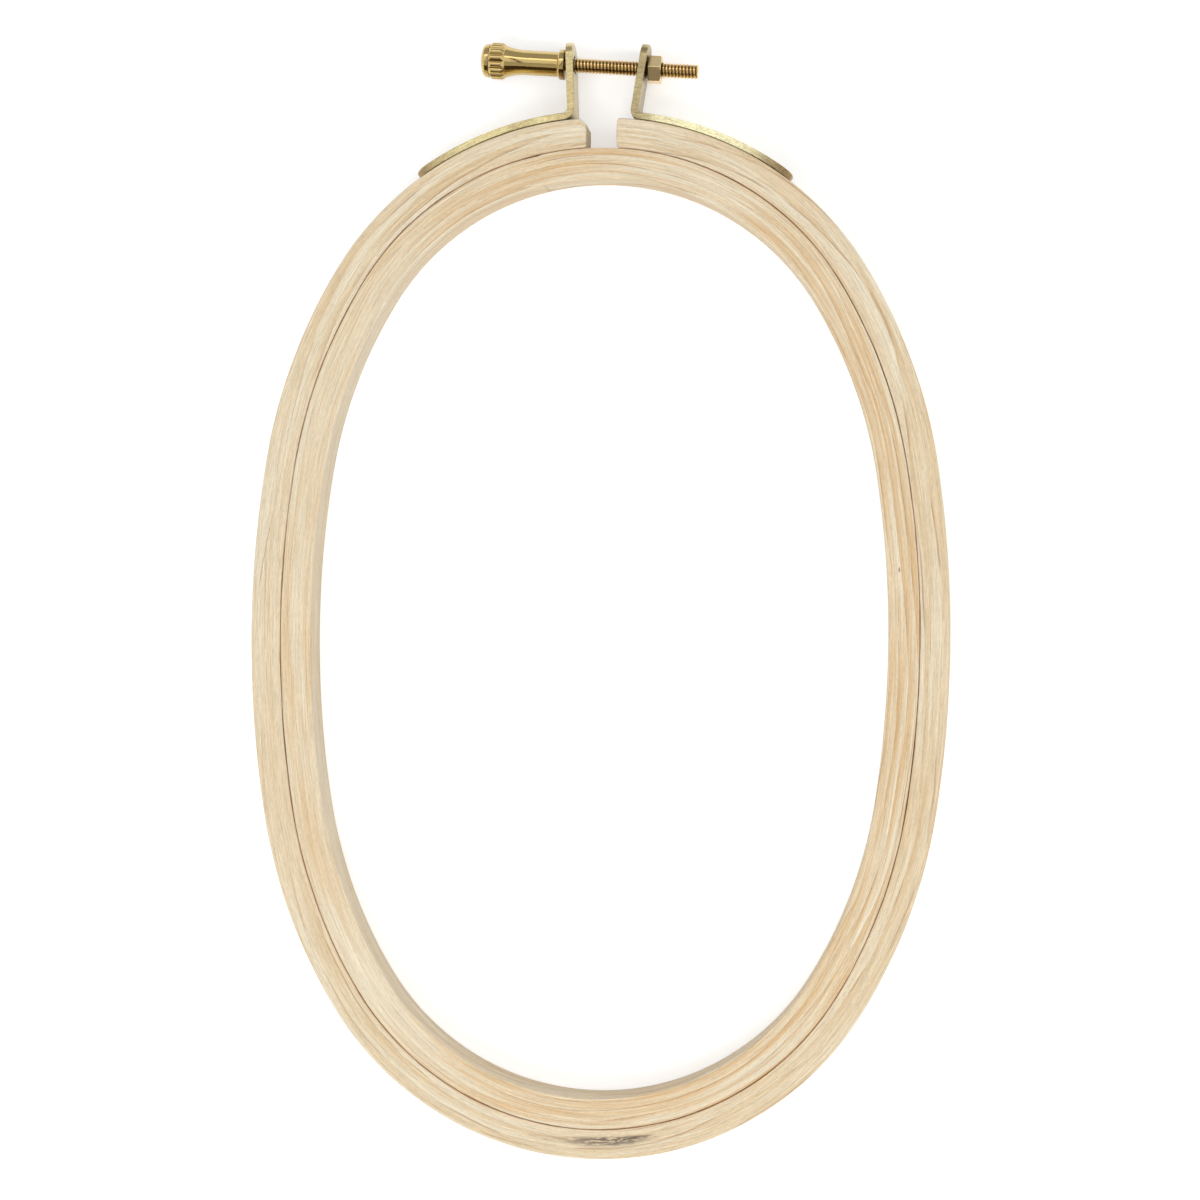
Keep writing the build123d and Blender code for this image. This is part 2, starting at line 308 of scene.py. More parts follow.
def make_outer_ring():
    right = (1, RIGHT_END, corner_cut, RIGHT_CORNER, RIGHT_BULGE)
    left = (-1, LEFT_END, chamfer_cut, LEFT_CHAMFER, LEFT_BULGE)
    stations = [end_station(*right, distance) for distance in END_STEPS]
    for x, y, radius, a in ring_path():
        beside_gap = abs(x + radius * math.cos(a)) < PATH_CLEARANCE + LEFT_END
        if y + radius * math.sin(a) <= 0 or not beside_gap:
            stations.append(bend_station(x, y, radius, a))
    stations += [end_station(*left, distance) for distance in reversed(END_STEPS)]

    shape = section(0.0, OUTER_WIDTH + PRESSED, EDGE_RADIUS, GAP_EDGE)
    middle = OUTER_WIDTH / 2
    lengths, points = [], []
    s = 0.0
    previous = stations[0][0]
    for mid, place in stations:
        s += math.dist(mid, previous)
        previous = mid
        lengths.append(s)
        for inset, z in shape:
            inwards, up = unevenness(s / WAVES_OVER, inset, z, middle, OUTER_SEED)
            points.append(place(inset, z, inwards, up))
    across = len(shape)
    faces = grid_faces(len(stations), across, False)
    data = grain_data(lengths, s, shape, 0.0, False)
    for first, along, turn in ((0, 0.0, 1), ((len(stations) - 1) * across, s, -1)):
        faces.append(tuple(range(first, first + across))[::turn])
        data.append([(along * MM, inset * MM, z * MM) for inset, z in shape][::turn])
    return build_mesh("outer_ring_wood", points, faces, data), s


# The turned pieces
def column_angles(columns):
    return np.arange(columns) * 2 * np.pi / columns


def turned(name, rows, columns, sharp_angle, closed=False):
    """A piece round the screw's axis. Each row holds a distance and radius for every column."""
    angles = column_angles(columns)
    radial = np.outer(np.cos(angles), UP) + np.outer(np.sin(angles), -AXIS_SIDE)
    points = []
    for along, radius in rows:
        along = np.broadcast_to(along, (columns,))
        radius = np.broadcast_to(radius, (columns,))
        points.append(AXIS_START + along[:, None] * AXIS + radius[:, None] * radial)
    points = np.concatenate(points)
    faces = grid_faces(len(rows), columns, closed)
    if not closed:
        for row, along in ((0, rows[0][0]), (len(rows) - 1, rows[-1][0])):
            centre = len(points)
            points = np.vstack([points, AXIS_START + float(np.mean(along)) * AXIS])
            for j in range(columns):
                a, b = row * columns + j, row * columns + (j + 1) % columns
                faces.append((a, b, centre) if row == 0 else (b, a, centre))
    return build_mesh(name, points, faces, sharp_angle=sharp_angle)


def span_along_axis(node):
    """Where a solid of the frame starts and ends along the screw's axis."""
    spans = [(np.array(v.co) / MM - AXIS_START) @ AXIS for v in frame["nodes"][node].data.vertices]
    return min(spans), max(spans)


def ridge_outline(angles):
    """The knurl's outline: round ridges on a drum."""
    spacing = 2 * np.pi / RIDGES
    off = (angles + spacing / 2) % spacing - spacing / 2
    centre = KNURL_CREST - RIDGE_RADIUS
    inside = RIDGE_RADIUS**2 - (centre * np.sin(off)) ** 2
    ridge = centre * np.cos(off) + np.sqrt(np.maximum(inside, 0))
    return np.where(inside > 0, np.maximum(ridge, KNURL_ROOT), KNURL_ROOT)


def thread_outline(along, angles):
    """A right-hand thread's radius along the shank."""
    phase = ((along - NECK) / PITCH - angles / (2 * np.pi)) % 1.0
    root, crest = THREAD_ROOT / PITCH, THREAD_CREST / PITCH
    rise = (1 - root - crest) / 2
    height = np.interp(phase, [0, root, root + rise, root + rise + crest, 1], [0, 0, 1, 1, 0])
    return THREAD_RADIUS - THREAD_DEPTH * (1 - height)


def make_knob():
    """The knob, from its domed cap to the face of its collar at the lug."""
    collar_start = -COLLAR_LENGTH
    waist_start = collar_start - WAIST_LENGTH
    knurl_end = waist_start - FLARE_LENGTH
    knurl_start = knurl_end - KNURL_LENGTH
    knob_end = knurl_start - CAP_LENGTH

    # the domed cap, its rim and the groove before the knurl
    dome_edge = CAP_RADIUS - CAP_RIM
    dome_radius = (dome_edge**2 + CAP_DOME**2) / (2 * CAP_DOME)
    rows = []
    for r in np.linspace(0.15, dome_edge, 9):
        rows.append((knob_end + dome_radius - math.sqrt(dome_radius**2 - r * r), r))
    rim_x = knob_end + CAP_DOME + CAP_RIM
    for degrees in np.linspace(80, 0, 9)[1:]:
        a = math.radians(degrees)
        rows.append((rim_x - CAP_RIM * math.sin(a), dome_edge + CAP_RIM * math.cos(a)))
    rows.append((knurl_start - 0.08, CAP_RADIUS))
    rows.append((knurl_start - 0.02, CAP_RADIUS - 0.03))

    # the knurl, with its ridges slanting off at both ends
    ridges = ridge_outline(column_angles(KNOB_COLUMNS))
    for along in np.linspace(0, KNURL_LENGTH, 25):
        rise = min(along, KNURL_LENGTH - along) / KNURL_SLANT
        ramp = KNURL_ROOT + (KNURL_CREST - KNURL_ROOT) * rise
        rows.append((knurl_start + along, np.minimum(ridges, max(ramp, KNURL_ROOT))))
    rows.append((knurl_end + 0.03, FLARE_RADIUS + 0.02))

    # the flare, as one arc that ends along the waist, and the waist
    flare_rise = FLARE_RADIUS - WAIST_RADIUS
    flare_arc = (FLARE_LENGTH**2 + flare_rise**2) / (2 * flare_rise)
    for x in np.linspace(0.08, FLARE_LENGTH, 14):
        drop = math.sqrt(flare_arc**2 - (FLARE_LENGTH - x) ** 2)
        rows.append((knurl_end + x, WAIST_RADIUS + flare_arc - drop))
    for x in np.linspace(0, WAIST_LENGTH, 16)[1:-1]:
        rows.append((waist_start + x, WAIST_RADIUS))

    # the bevelled collar, with close rows beside its edges, and its face
    rows += [
        (collar_start - 0.06, WAIST_RADIUS),
        (collar_start, WAIST_RADIUS + 0.02),
        (collar_start + 0.04, WAIST_RADIUS + 0.08),
        (collar_start + COLLAR_BEVEL - 0.04, COLLAR_RADIUS - 0.06),
        (collar_start + COLLAR_BEVEL + 0.03, COLLAR_RADIUS - 0.01),
        (collar_start + COLLAR_BEVEL + 0.1, COLLAR_RADIUS),
        (-0.12, COLLAR_RADIUS),
        (-0.05, COLLAR_RADIUS - 0.02),
        (-0.01, COLLAR_RADIUS - 0.07),
        (0.0, COLLAR_RADIUS - 0.14),
        (0.0, 2.2),
        (0.0, CORE_RADIUS + 0.03),
    ]
    return turned("screw_knob", rows, KNOB_COLUMNS, sharp_angle=32)


def make_shank():
    """The threaded shank, from just inside the knob's collar to its chamfered tip."""
    length = span_along_axis("tension_screw")[1]
    angles = column_angles(THREAD_COLUMNS)
    rows = [(-0.4, CORE_RADIUS)]
    count = int(length / THREAD_ROW)
    for k in range(count + 1):
        along = length * k / count
        fade_in = min(max((along - NECK) / THREAD_RUN_IN, 0.0), 1.0)
        radius = CORE_RADIUS + (thread_outline(along, angles) - CORE_RADIUS) * fade_in
        tip = THREAD_RADIUS - TIP_CHAMFER + (length - along)
        rows.append((along, np.minimum(radius, tip)))
    return turned("screw_thread", rows, THREAD_COLUMNS, sharp_angle=35)


def make_nut():
    """A hexagon with eased corners, chamfered round on its far face, with a bore."""
    near, far = span_along_axis("hex_nut")
    flat = NUT_FLATS / 2
    corner = flat / math.cos(math.pi / 6)
    turned_by = column_angles(NUT_COLUMNS) + math.radians(NUT_TURN)
    from_corner = (turned_by + np.pi / 6) % (np.pi / 3) - np.pi / 6
    hexagon = flat / np.cos(np.pi / 6 - np.abs(from_corner))
    ease = NUT_CORNER_EASE * np.cos((hexagon - corner) * 8)
    outline = np.minimum(hexagon, corner - NUT_CORNER_EASE + ease)
    rows = [
        (near + 0.25, NUT_BORE),
        (near + 0.02, NUT_BORE + 0.22),
        (near, NUT_BORE + NUT_COUNTERSINK),
        (near, flat - 0.4),
        (near, np.minimum(outline, flat - 0.05)),
        (near + 0.01, outline - 0.09),
        (near + 0.04, outline - 0.03),
        (near + 0.12, outline),
    ]
    for share in (0.25, 0.5, 0.75):
        rows.append((near + (far - near) * share, outline))
    slope = math.tan(math.radians(NUT_SLOPE))
    steps = (0.36, 0.3, 0.24, 0.18, 0.12, 0.07, 0.03)
    for inward in steps:
        cone = corner - NUT_CHAMFER + inward / slope
        rows.append((far - inward, np.minimum(outline - 0.02 * (steps[0] - inward), cone)))
    cone = np.minimum(outline - 0.03, corner - NUT_CHAMFER)
    rows += [
        (far - 0.008, cone - 0.03),
        (far, cone - 0.09),
        (far, flat - 0.45),
        (far, NUT_BORE + NUT_COUNTERSINK),
        (far - 0.02, NUT_BORE + 0.22),
        (far - 0.25, NUT_BORE),
    ]
    return turned("nut_body", rows, NUT_COLUMNS, sharp_angle=28, closed=True)


# Materials
class Graph:
    """A short way to write the nodes of a material or a world."""

    def __init__(self, owner, output):
        owner.use_nodes = True
        self.owner = owner
        self.tree = owner.node_tree
        self.tree.nodes.clear()
        self.output = self.tree.nodes.new(output)

    def put(self, kind, inputs=(), **settings):
        node = self.tree.nodes.new(kind)
        for key, value in settings.items():
            setattr(node, key, value)
        for key, value in dict(inputs).items():
            self.set(node.inputs[key], value)
        return node

    def set(self, socket, value):
        if isinstance(value, bpy.types.NodeSocket):
            self.tree.links.new(value, socket)
        else:
            socket.default_value = value

    def show(self, shader):
        self.tree.links.new(shader.outputs[0], self.output.inputs["Surface"])
        return self.owner

    def math(self, operation, a, b=0.0, c=0.0, clamp=False):
        inputs = {0: a, 1: b, 2: c}
        node = self.put("ShaderNodeMath", inputs, operation=operation, use_clamp=clamp)
        return node.outputs[0]

    def plus(self, a, b):
        return self.math("ADD", a, b)

    def minus(self, a, b):
        return self.math("SUBTRACT", a, b)

    def times(self, a, b):
        return self.math("MULTIPLY", a, b)

    def times_plus(self, a, b, c):
        return self.math("MULTIPLY_ADD", a, b, c)

    def larger(self, a, b):
        return self.math("MAXIMUM", a, b)

    def distance(self, a, b):
        return self.math("ABSOLUTE", self.minus(a, b))

    def range(self, value, low, high, to_low=0.0, to_high=1.0):
        """A smooth step from to_low where value is low to to_high where it is high."""
        inputs = {"Value": value, "From Min": low, "From Max": high}
        inputs.update({"To Min": to_low, "To Max": to_high})
        settings = {"interpolation_type": "SMOOTHSTEP", "clamp": True}
        return self.put("ShaderNodeMapRange", inputs, **settings).outputs["Result"]

    def vector(self, operation, a, b):
        return self.put("ShaderNodeVectorMath", {0: a, 1: b}, operation=operation)

    def in_mm(self, vector):
        inputs = {0: vector, "Scale": 1 / MM}
        return self.put("ShaderNodeVectorMath", inputs, operation="SCALE").outputs[0]

    def split(self, vector):
        return self.put("ShaderNodeSeparateXYZ", {0: vector}).outputs

    def combine(self, x, y, z):
        return self.put("ShaderNodeCombineXYZ", {0: x, 1: y, 2: z}).outputs[0]

    def noise(self, vector, cycles, detail=2.0, roughness=0.5):
        """Noise with about so many cycles to a millimetre along each of vector's axes."""
        scaled = self.vector("MULTIPLY", vector, cycles).outputs[0]
        inputs = {"Vector": scaled, "Scale": 1.0, "Detail": detail, "Roughness": roughness}
        return self.put("ShaderNodeTexNoise", inputs).outputs["Fac"]

    def mix(self, factor, a, b, blend="MIX"):
        node = self.put("ShaderNodeMix", data_type="RGBA", blend_type=blend)
        self.set(node.inputs["Factor"], factor)
        self.set(node.inputs[6], a)
        self.set(node.inputs[7], b)
        return node.outputs[2]

    def stain(self, colour, mask, strength, shade):
        return self.mix(self.times(mask, strength), colour, shade)

    def shaded(self, colour, light):
        """A colour made lighter or darker, where light is 1 for no change."""
        return self.mix(1.0, colour, self.combine(light, light, light), "MULTIPLY")

    def varied(self, noise, contrast, light=1.0):
        """A noise as light and dark round the given light."""
        return self.times_plus(self.minus(noise, 0.5), contrast, light)

    def bump(self, height, strength, distance):
        inputs = {"Height": height, "Strength": strength, "Distance": distance}
        return self.put("ShaderNodeBump", inputs).outputs[0]

    def surface(self, **inputs):
        inputs = {key.replace("_", " "): value for key, value in inputs.items()}
        return self.show(self.put("ShaderNodeBsdfPrincipled", inputs))

    def seen_directly(self):
        """1 for the camera's rays and for what metal and glass show, 0 for the light itself."""
        rays = self.put("ShaderNodeLightPath").outputs
        mirrored = self.larger(rays["Is Glossy Ray"], rays["Is Transmission Ray"])
        return self.larger(rays["Is Camera Ray"], mirrored)


def material_graph(name):
    return Graph(bpy.data.materials.new(name), "ShaderNodeOutputMaterial")


def tone(red, green, blue):
    """A colour given as it is seen on a screen."""
    shares = (c / 255 for c in (red, green, blue))
    linear = (c / 12.92 if c < 0.0404 else ((c + 0.055) / 1.055) ** 2.4 for c in shares)
    return (*linear, 1.0)


def scarf_joint(g, along, across, length, middle, reach):
    """A slanting glued joint across the inner ring.

    The grain beyond the joint is another stretch of wood. The result is the place along the
    wood and a mask of the glue line.
    """
    wrapped = g.math("GREATER_THAN", along, length / 2)
    near = g.minus(along, g.times(wrapped, length))
    line = g.times_plus(g.minus(near, middle), INNER_WIDTH / reach, INNER_WIDTH / 2)
    beyond = g.math("GREATER_THAN", across, line)
    glue = g.range(g.distance(across, line), 0.06, 0.0)
    return g.plus(near, g.times(beyond, length)), glue


def growth_rings(g, place, across, height, spacing, seed):
    """Growth rings cut at a slant, which wander along the strip: late wood and its dark edge."""
    wander = g.minus(g.noise(place, (1 / 70, 0.02, 0.02), 1.0), 0.5)
    ripple = g.minus(g.noise(place, (1 / 26, 0.15, 0.1)), 0.5)
    slanted = g.math("DIVIDE", height, spacing * 4.2)
    rings = g.plus(g.math("DIVIDE", across, spacing), slanted)
    rings = g.times_plus(wander, 4.5, rings)
    rings = g.times_plus(ripple, 0.6, rings)
    rings = g.plus(rings, seed * 3.7)
    share = g.math("FRACT", rings)
    number = g.math("FLOOR", rings)
    chance = g.put("ShaderNodeTexWhiteNoise", {"W": number}, noise_dimensions="1D")
    late = g.times(g.range(share, 0.05, 0.85), g.range(share, 1.0, 0.93))
    late = g.times(late, g.times_plus(chance.outputs["Value"], 0.75, 0.35))
    broken = g.range(g.noise(place, (1 / 34, 0.8, 0.5), 2.0, 0.55), 0.34, 0.56)
    late = g.math("MULTIPLY", late, broken, clamp=True)
    edge = g.times(g.range(share, 0.84, 0.955), g.range(share, 1.0, 0.965))
    return late, g.times(edge, g.range(g.noise(place, (1 / 16, 0.5, 0.5)), 0.44, 0.62))


def gap_shade_line(g, place, across, height, joint_at):
    """A brown line on both faces beside the gap between the rings: painted shade of the gap,
    patchy along it.
    """
    line = g.range(g.distance(across, joint_at), 0.16, 0.04)
    patchy = g.range(g.noise(place, (1 / 9, 0.3, 0.3), 3.0, 0.65), 0.36, 0.62, 0.2, 0.72)
    from_middle = g.distance(height, DEPTH / 2)
    at_face = g.range(from_middle, DEPTH / 2 - 0.9, DEPTH / 2 - 0.2, 0.08, 1.0)
    return g.times(g.times(line, patchy), at_face)


def grain_mark(g, along, across, start, end, width):
    """1 on a thin line between two places on the wood, thinning out at both ends."""
    share = g.math("DIVIDE", g.minus(along, start[0]), end[0] - start[0])
    line = g.times_plus(share, end[1] - start[1], start[1])
    inside = g.times(g.range(share, 0.0, 0.15), g.range(share, 1.0, 0.8))
    return g.times(g.range(g.distance(across, line), width, 0.0), inside)


def ellipse(g, along, across, at, size):
    """1 in the middle of a long spot on the wood and 0 outside it."""
    a = g.math("DIVIDE", g.minus(along, at[0]), size[0])
    b = g.math("DIVIDE", g.minus(across, at[1]), size[1])
    return g.range(g.plus(g.times(a, a), g.times(b, b)), 1.0, 0.0)


LINE = tone(180, 138, 98)
SILVER = tone(247, 236, 212)
GLUE = tone(176, 140, 104)
# the brown of the painted shade beside the gap between the rings
GAP_SHADE_BROWN = tone(166, 108, 64)
MARK_BROWN = tone(168, 128, 92)
# the grey of the painted shade on the walls
WALL_SHADE_GREY = tone(216, 206, 184)
END_GRAIN = (tone(198, 178, 144), tone(236, 218, 184))


def wood(
    name, seed, length, bands, ring_spacing, tones, quiet, joint_at,
    scarf=None, spots=(), marks=(), cut_ends=False,
):
    """Bare bent beech: grain lines that run with the strip, short fibres, flecks and pores.

    Places are in millimetres: along the strip, across it from its outer wall, and up.
    tones are the pale, the warm and the pink wood. bands is how strong the growth rings are,
    and quiet the middle and reach of a stretch where they hardly show. joint_at is where the
    rings press together, and scarf the middle and reach of a glued joint. A spot is a place,
    half sizes, a strength and a tone. A mark is its start, end, width and strength.
    """
    g = material_graph(name)
    pale, warm, pink = tones
    grain = g.put("ShaderNodeAttribute", attribute_name="grain", attribute_type="GEOMETRY")
    strip_along, across, height = g.split(g.in_mm(grain.outputs["Vector"]))
    along = strip_along
    if scarf is not None:
        along, glue = scarf_joint(g, along, across, length, *scarf)
    start = (seed * 37.0, seed * 11.0, seed * 5.0)
    place = g.vector("ADD", g.combine(along, across, height), start).outputs[0]
    late, edge_line = growth_rings(g, place, across, height, ring_spacing, seed)
    quiet_at, quiet_reach = quiet
    aside = g.distance(strip_along, quiet_at)
    calm = g.range(aside, 0.45 * quiet_reach, quiet_reach, 0.3, 1.0)
    late = g.times(late, calm)
    edge_line = g.times(edge_line, calm)

    # broad drifts and streaks of colour
    drift = g.noise(place, (1 / 45, 0.33, 0.16))
    streak = g.noise(place, (1 / 34, 1.7, 0.9), 2.0, 0.6)
    streak = g.range(streak, 0.47, 0.68, 0.0, 0.5 * bands + 0.15)
    strand = g.noise(place, (1 / 18, 3.2, 1.6), 2.0, 0.6)
    silver = g.noise(place, (1 / 40, 1.4, 0.7), 2.0, 0.6)
    hair = g.range(g.noise(place, (1 / 14, 5.0, 2.0)), 0.62, 0.74)
    colour = g.mix(g.range(drift, 0.38, 0.64), pale, pink)
    colour = g.stain(colour, late, bands, warm)
    colour = g.stain(colour, streak, calm, warm)
    colour = g.mix(g.range(strand, 0.48, 0.68, 0.0, 0.38), colour, warm)
    colour = g.mix(g.range(silver, 0.52, 0.7, 0.0, 0.5), colour, SILVER)
    colour = g.stain(colour, edge_line, 0.6, LINE)
    colour = g.stain(colour, hair, 0.22, LINE)

    # fibres, ray flecks and pores
    fibre = g.noise(place, (1 / 7, 6.5, 6.5), 2.0, 0.6)
    fine = g.noise(place, (1 / 1.3, 13.0, 13.0), 2.0, 0.6)
    fleck = g.range(g.noise(place, (1 / 1.5, 6.5, 3.2), 1.0), 0.64, 0.75)
    pore = g.range(g.noise(place, (1 / 0.9, 9.0, 9.0), 0.0), 0.7, 0.8)
    colour = g.shaded(colour, g.varied(fine, 0.66, g.varied(fibre, 0.66)))
    colour = g.stain(colour, fleck, 0.1, LINE)
    colour = g.stain(colour, pore, 0.12, LINE)

    # the glue line, the painted shade at the gap between the rings, and single marks and spots
    if scarf is not None:
        worn = g.range(g.noise(place, (1 / 3, 1.0, 1.0)), 0.35, 0.62, 0.05, 0.6)
        colour = g.stain(colour, glue, worn, GLUE)
    gap_shade = gap_shade_line(g, place, across, height, joint_at)
    colour = g.mix(gap_shade, colour, GAP_SHADE_BROWN)
    ragged = g.noise(place, (1 / 2.2, 3.4, 1.0), 3.0, 0.7)
    for first, last, width, strength in marks:
        mark = grain_mark(g, strip_along, across, first, last, width)
        uneven = g.range(ragged, 0.3, 0.55, 0.35 * strength, strength)
        colour = g.stain(colour, mark, uneven, MARK_BROWN)
    for at, size, strength, shade in spots:
        mask = g.times(ellipse(g, strip_along, across, at, size), g.range(ragged, 0.36, 0.58))
        on_top = g.times(g.range(height, 6.8, 7.6), strength)
        colour = g.stain(colour, mask, on_top, shade)

    # the walls inside and between the rings, which face sideways, are painted a little greyer than
    # the faces: painted shade
    normal = g.put("ShaderNodeNewGeometry").outputs["True Normal"]
    wall_shade = g.range(g.math("ABSOLUTE", g.split(normal)[2]), 0.75, 0.2)
    colour = g.stain(colour, wall_shade, 0.3, WALL_SHADE_GREY)
    if cut_ends:
        begin = g.range(strip_along, 0.02, 0.0)
        finish = g.range(strip_along, length - 0.02, length)
        rough_end = g.range(g.noise(place, (1.0, 3.0, 0.7), 4.0, 0.7), 0.35, 0.65)
        colour = g.mix(g.larger(begin, finish), colour, g.mix(rough_end, *END_GRAIN))

    relief = g.times_plus(fibre, 0.5, g.times(fine, 0.35))
    relief = g.times_plus(pore, -0.5, relief)
    relief = g.times_plus(edge_line, -0.25, relief)
    return g.surface(
        Base_Color=colour,
        Roughness=g.range(fibre, 0.3, 0.7, 0.62, 0.5),
        Normal=g.bump(relief, 0.7, 0.00008),
        Specular_IOR_Level=0.35,
    )


def round_the_end(g, place):
    """A strip's place round the bend of the wood: how far along it, and drawn out straight."""
    x, y, z = g.split(place)
    ahead = g.minus(y, END_Y)
    angle = g.math("ARCTAN2", x, ahead)
    out = g.math("SQRT", g.plus(g.times(x, x), g.times(ahead, ahead)))
    along = g.times(g.math("ABSOLUTE", angle), END_RADIUS)
    return along, g.combine(g.times(angle, END_RADIUS), out, z)


def brass(
    name, tones, roughness, cover, scratches,
    strip=False, turning=None, reach=0.0022, deep=0.3,
):
    """Brass with a thin uneven tarnish.

    tones are the clean, the tarnished and the dark metal; the dark fills the pits and is also
    painted into recesses as shade. cover is how much is tarnished, and scratches the depth of
    the bump in metres. A strip lies round the bend of the wood, and a turned piece has fine
    lines round the axis turning. Painted shade, with some grime, darkens the metal where
    something is within reach, in metres, and is at its full strength where the openness is deep.
    """
    g = material_graph(name)
    clean, aged, dark = tones
    place = g.in_mm(g.put("ShaderNodeTexCoord").outputs["Object"])
    drawn = place
    if strip:
        along, drawn = round_the_end(g, place)
    cloud = g.noise(place, (0.07, 0.07, 0.07), 3.0, 0.6)
    speckle = g.noise(place, (2.6, 2.6, 2.6), 4.0, 0.72)
    pits = g.range(g.noise(place, (2.2, 2.2, 2.2)), 0.64, 0.72)
    streak = g.noise(drawn, (0.35, 2.4, 2.4), 3.0, 0.6)
    mottled = g.times_plus(streak, 0.4, g.times(cloud, 0.6))
    mottled = g.times_plus(speckle, 0.3, mottled)
    tarnish = g.range(mottled, 0.76 - 0.26 * cover, 0.92 - 0.2 * cover)
    if strip:
        # the strip is duller at its tip and beside the lug than along its middle: partly tarnish,
        # partly painted shade that leaves the middle bright like a highlight
        tip = g.range(along, 27.0, 42.0)
        worn = g.larger(g.range(along, 13.0, 7.0, 0.0, 0.9), tip)
        ends_tarnish_and_shade = g.times(worn, g.range(mottled, 0.3, 0.75, 0.55, 1.0))
        tarnish = g.larger(tarnish, ends_tarnish_and_shade)
    colour = g.mix(tarnish, clean, aged)
    if strip:
        # the tip is darkened further: tarnish and painted shade
        dull = g.range(mottled, 0.5, 0.75, 0.55, 0.95)
        colour = g.stain(colour, tip, dull, tone(156, 130, 94))
        # fine light and dark specks, drawn out along the strip
        specks = g.noise(drawn, (1.1, 3.0, 3.0), 3.0, 0.7)
        colour = g.shaded(colour, g.varied(speckle, 0.7, g.varied(specks, 1.3)))
    colour = g.stain(colour, pits, 0.7 * cover, dark)
    # painted shade, with some grime: the metal turns to the dark tone where other surfaces are
    # near
    recess_shade = g.put("ShaderNodeAmbientOcclusion", {"Distance": reach}, samples=8).outputs["AO"]
    colour = g.stain(colour, g.range(recess_shade, 0.92, deep), 0.85, dark)
    if turning is not None:
        ahead = g.vector("DOT_PRODUCT", place, turning).outputs["Value"]
        lines = g.noise(g.combine(ahead, 0.0, 0.0), (9.0, 1.0, 1.0), 3.0, 0.7)
        height = g.times_plus(lines, 1.6, g.times(speckle, 0.5))
    else:
        height = g.times_plus(streak, 1.6, g.times(speckle, 0.6))
        height = g.times_plus(pits, -0.4, height)
    return g.surface(
        Base_Color=colour,
        Metallic=1.0,
        Roughness=g.times_plus(tarnish, 0.16, roughness),
        Normal=g.bump(height, 0.6, scratches),
    )


inner_ring, inner_length = make_inner_ring()
outer_ring, outer_length = make_outer_ring()
knob = make_knob()
shank = make_shank()
nut = make_nut()

# Places on the outer ring, along it from its right end
RIGHT_SIDE, FAR_END, LEFT_SIDE = (share * outer_length for share in (0.25, 0.5, 0.75))
# The long dark smudge at the far end, with its darker middle and its pale tail
SMUDGE = (
    ((FAR_END - 3.2, 3.7), (12.0, 1.35), 0.9, tone(118, 104, 96)),
    ((FAR_END - 5.5, 4.1), (8.5, 0.48), 0.85, tone(92, 76, 70)),
    ((FAR_END + 8.5, 3.4), (7.0, 0.8), 0.4, tone(150, 130, 112)),
)
SPECK = ((113.7, 3.7), (0.7, 0.3), 0.95, tone(86, 68, 62))
outer_material = wood(
    "beech_outer",
    seed=1.3,
    length=outer_length,
    bands=0.6,
    ring_spacing=3.1,
    tones=(tone(245, 232, 204), tone(224, 192, 144), tone(239, 219, 185)),
    quiet=(LEFT_SIDE, 80.0),
    joint_at=OUTER_WIDTH + 0.05,
    spots=SMUDGE,
    marks=(
        ((LEFT_SIDE + 27.0, 3.0), (LEFT_SIDE + 10.0, 1.3), 0.13, 0.8),
        ((LEFT_SIDE + 16.0, 2.6), (LEFT_SIDE - 3.0, 3.0), 0.09, 0.7),
        ((LEFT_SIDE - 3.0, 3.05), (LEFT_SIDE - 14.0, 3.3), 0.09, 0.7),
        ((RIGHT_SIDE - 12.0, 4.2), (RIGHT_SIDE + 2.0, 4.0), 0.07, 0.8),
        ((FAR_END + 10.0, 1.3), (FAR_END + 24.0, 0.5), 0.35, 0.4),
    ),
    cut_ends=True,
)
inner_material = wood(
    "beech_inner",
    seed=2.2,
    length=inner_length,
    bands=0.9,
    ring_spacing=1.9,
    tones=(tone(245, 233, 205), tone(224, 184, 130), tone(239, 217, 181)),
    quiet=(0.75 * inner_length, 120.0),
    joint_at=-0.05,
    scarf=(-35.0, 46.0),
    spots=(SPECK,),
)
# The strips, the knob, the thread and the nut are one brass in lit and shaded copies: each part's
# tones and tarnish are set lighter or darker by the light it catches, which is painted light. The
# right strip and the nut are the lightest copies, the knob the darkest.
left_brass = brass(
    "brass_strip_left",
    (tone(232, 217, 164), tone(194, 177, 132), tone(122, 100, 62)),
    roughness=0.16, cover=0.5, scratches=0.00001, strip=True,
)
right_brass = brass(
    "brass_strip_right",
    (tone(252, 242, 196), tone(158, 140, 101), tone(112, 90, 54)),
    roughness=0.16, cover=0.2, scratches=0.00001, strip=True,
)
nail_brass = brass(
    "brass_nail",
    (tone(222, 190, 124), tone(150, 118, 66), tone(92, 72, 40)),
    roughness=0.28, cover=0.5, scratches=0.00001,
)
# the knob's reach of 8 mm paints shade on its underside beside the wood and the strips
screw_brass = brass(
    "brass_screw",
    (tone(207, 181, 122), tone(176, 142, 84), tone(104, 68, 30)),
    roughness=0.12, cover=0.25, scratches=0.000008, turning=tuple(AXIS), reach=0.008,
)
thread_brass = brass(
    "brass_thread",
    (tone(240, 204, 140), tone(190, 142, 78), tone(58, 36, 18)),
    roughness=0.14, cover=0.45, scratches=0.000006, reach=0.0009, deep=0.6,
)
nut_brass = brass(
    "brass_nut",
    (tone(250, 224, 172), tone(224, 196, 144), tone(134, 106, 66)),
    roughness=0.28, cover=0.4, scratches=0.000008, turning=tuple(AXIS), reach=0.0008,
)
for piece, material in (
    (inner_ring, inner_material),
    (outer_ring, outer_material),
    (knob, screw_brass),
    (shank, thread_brass),
    (nut, nut_brass),
):
    piece.data.materials.append(material)
